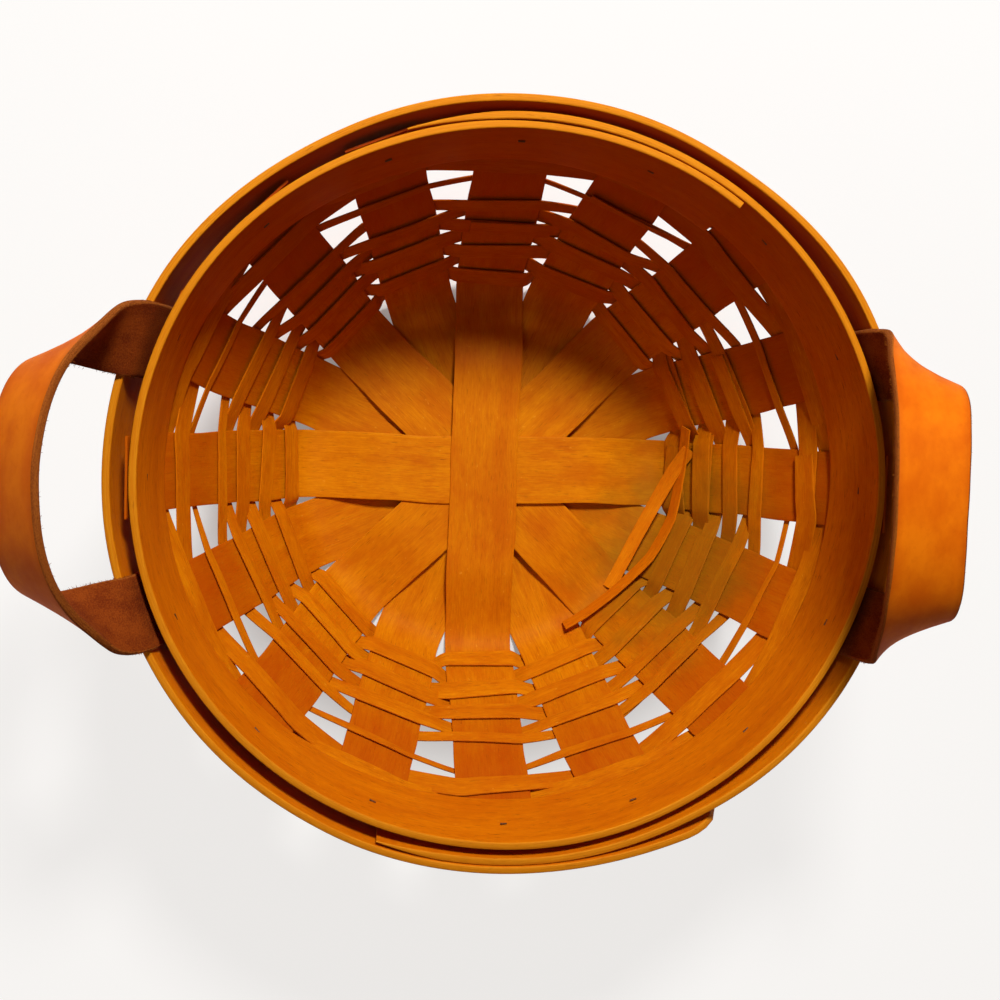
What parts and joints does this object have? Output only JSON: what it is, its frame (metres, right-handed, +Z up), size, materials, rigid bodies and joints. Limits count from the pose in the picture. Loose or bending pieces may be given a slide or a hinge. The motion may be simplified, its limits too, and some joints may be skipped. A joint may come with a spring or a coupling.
{
  "type": "woven basket",
  "caption": "Round open basket woven from amber-stained wood splints, with lapped double rim hoops and leather strap handles at opposite sides.",
  "frame": {"origin": "centre of the underside of the floor, on the ground", "axes": "+Z up, +X towards the right handle of the picture, +Y towards the picture's top"},
  "size_m": [0.3144, 0.2737, 0.1794],
  "materials": {
    "stake_wood": "satin",
    "weaver_wood": "satin",
    "hoop_wood": "satin",
    "strap_leather": "satin",
    "tack_steel": "worn"
  },
  "bodies": {
    "basket": {"stake_north_northwest": "stake_wood", "stake_east_northeast": "stake_wood", "stake_east_southeast": "stake_wood", "stake_north_northeast": "stake_wood", "stake_northwest_southeast": "stake_wood", "stake_northeast_southwest": "stake_wood", "stake_east_west": "stake_wood", "stake_north_south": "stake_wood", "weaver_row_01": "weaver_wood", "weaver_row_02": "weaver_wood", "weaver_row_03": "weaver_wood", "weaver_row_04": "weaver_wood", "weaver_row_05": "weaver_wood", "weaver_row_06": "weaver_wood", "weaver_row_07": "weaver_wood", "weaver_row_08": "weaver_wood", "weaver_row_09": "weaver_wood", "weaver_row_10": "weaver_wood", "inner_hoop": "hoop_wood", "outer_hoop": "hoop_wood", "left_strap_ends": "strap_leather", "right_strap_ends": "strap_leather", "rim_tacks": "tack_steel"},
    "left_handle": {"left_strap_loop": "strap_leather"},
    "right_handle": {"right_strap_loop": "strap_leather"}
  },
  "joints": [
    {"name": "left_handle_swing", "type": "hinge", "parent": "basket", "child": "left_handle", "pos_m": [-0.12625, 0, 0.12325], "axis": [0, 1, 0], "range_deg": [0, 70]},
    {"name": "right_handle_swing", "type": "hinge", "parent": "basket", "child": "right_handle", "pos_m": [0.12625, 0, 0.12325], "axis": [0, -1, 0], "range_deg": [-42.6, 27.4]}
  ]
}
